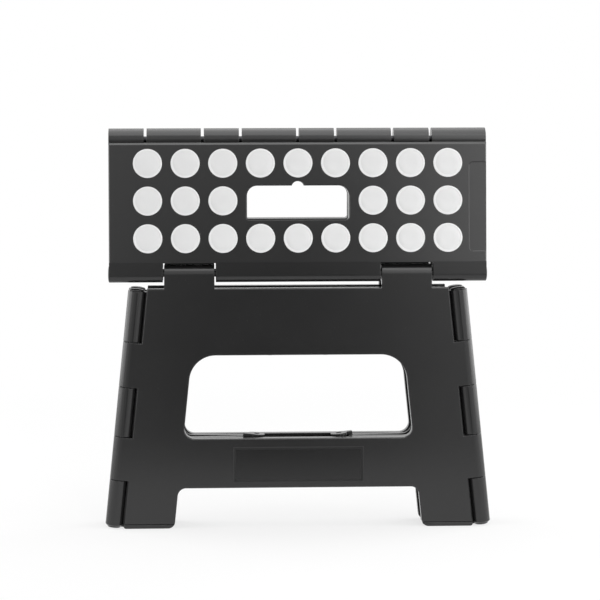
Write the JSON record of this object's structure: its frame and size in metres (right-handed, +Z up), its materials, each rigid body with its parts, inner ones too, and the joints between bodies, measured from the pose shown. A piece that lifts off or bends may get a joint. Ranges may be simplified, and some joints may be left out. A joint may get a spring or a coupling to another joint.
{
  "type": "folding step stool",
  "caption": "Folding plastic step stool with a two-leaf tread, dotted grip pads, handle slot and hinged side leaves, stored folded flat and standing upright.",
  "frame": {"origin": "on the floor, under the middle of the folded stool", "axes": "+Z up, -Y towards the front panel's outer face, +X to the right of someone facing it"},
  "size_m": [0.324, 0.0362, 0.3343],
  "materials": {
    "black_plastic": "fine satin moulding",
    "grip_dots": "matte",
    "pin_plastic": "satin",
    "pin_steel": "blackened rod",
    "foot_rubber": "matte"
  },
  "bodies": {
    "front_panel_body": {"front_panel": "black_plastic", "front_panel_feet": "foot_rubber", "front_left_corner_pin": "pin_plastic", "front_right_corner_pin": "pin_plastic"},
    "top_front_body": {"top_front_leaf": "black_plastic", "top_front_grip_dots": "grip_dots", "centre_hinge_pin": "pin_steel", "front_top_hinge_pins": "pin_plastic"},
    "top_rear_body": {"top_rear_leaf": "black_plastic", "top_rear_grip_dots": "grip_dots", "rear_top_hinge_pins": "pin_plastic"},
    "rear_panel_body": {"rear_panel": "black_plastic", "rear_panel_feet": "foot_rubber", "rear_left_corner_pin": "pin_plastic", "rear_right_corner_pin": "pin_plastic"},
    "left_front_body": {"left_side_front_leaf": "black_plastic", "left_side_front_foot": "foot_rubber", "left_mid_hinge_pins": "pin_plastic"},
    "left_rear_body": {"left_side_rear_leaf": "black_plastic", "left_side_rear_foot": "foot_rubber"},
    "right_front_body": {"right_side_front_leaf": "black_plastic", "right_side_front_foot": "foot_rubber"},
    "right_rear_body": {"right_side_rear_leaf": "black_plastic", "right_side_rear_foot": "foot_rubber", "right_mid_hinge_pins": "pin_plastic"}
  },
  "joints": [
    {"name": "fold", "type": "hinge", "parent": "front_panel_body", "child": "top_front_body", "pos_m": [0, -0.01, 0.2134], "axis": [-1, 0, 0], "range_deg": [0, 86.46]},
    {"name": "tread_fold", "type": "hinge", "parent": "top_front_body", "child": "top_rear_body", "pos_m": [0, 0, 0.32495], "axis": [1, 0, 0], "range_deg": [0, 172.94]},
    {"name": "rear_panel_fold", "type": "hinge", "parent": "top_rear_body", "child": "rear_panel_body", "pos_m": [0, 0.01, 0.2134], "axis": [-1, 0, 0], "range_deg": [0, 86.47]},
    {"name": "left_corner_fold", "type": "hinge", "parent": "front_panel_body", "child": "left_front_body", "pos_m": [-0.1549, -0.01, 0], "axis": [0.1037, 0, 0.9946], "range_deg": [0, 86.47]},
    {"name": "left_side_fold", "type": "hinge", "parent": "left_front_body", "child": "left_rear_body", "pos_m": [-0.04395, 0, -0.01156], "axis": [-0.1037, 0, -0.9946], "range_deg": [0, 172.94]},
    {"name": "right_corner_fold", "type": "hinge", "parent": "front_panel_body", "child": "right_front_body", "pos_m": [0.1549, -0.01, 0], "axis": [0.1037, 0, -0.9946], "range_deg": [0, 86.47]},
    {"name": "right_side_fold", "type": "hinge", "parent": "right_front_body", "child": "right_rear_body", "pos_m": [0.04395, 0, -0.01156], "axis": [-0.1037, 0, 0.9946], "range_deg": [0, 172.94]}
  ],
  "couplings": [
    {"joint": "tread_fold", "follows": "fold", "ratio": 2},
    {"joint": "rear_panel_fold", "follows": "fold", "ratio": 1},
    {"joint": "left_corner_fold", "follows": "fold", "ratio": 1},
    {"joint": "left_side_fold", "follows": "fold", "ratio": 2},
    {"joint": "right_corner_fold", "follows": "fold", "ratio": 1},
    {"joint": "right_side_fold", "follows": "fold", "ratio": 2}
  ]
}
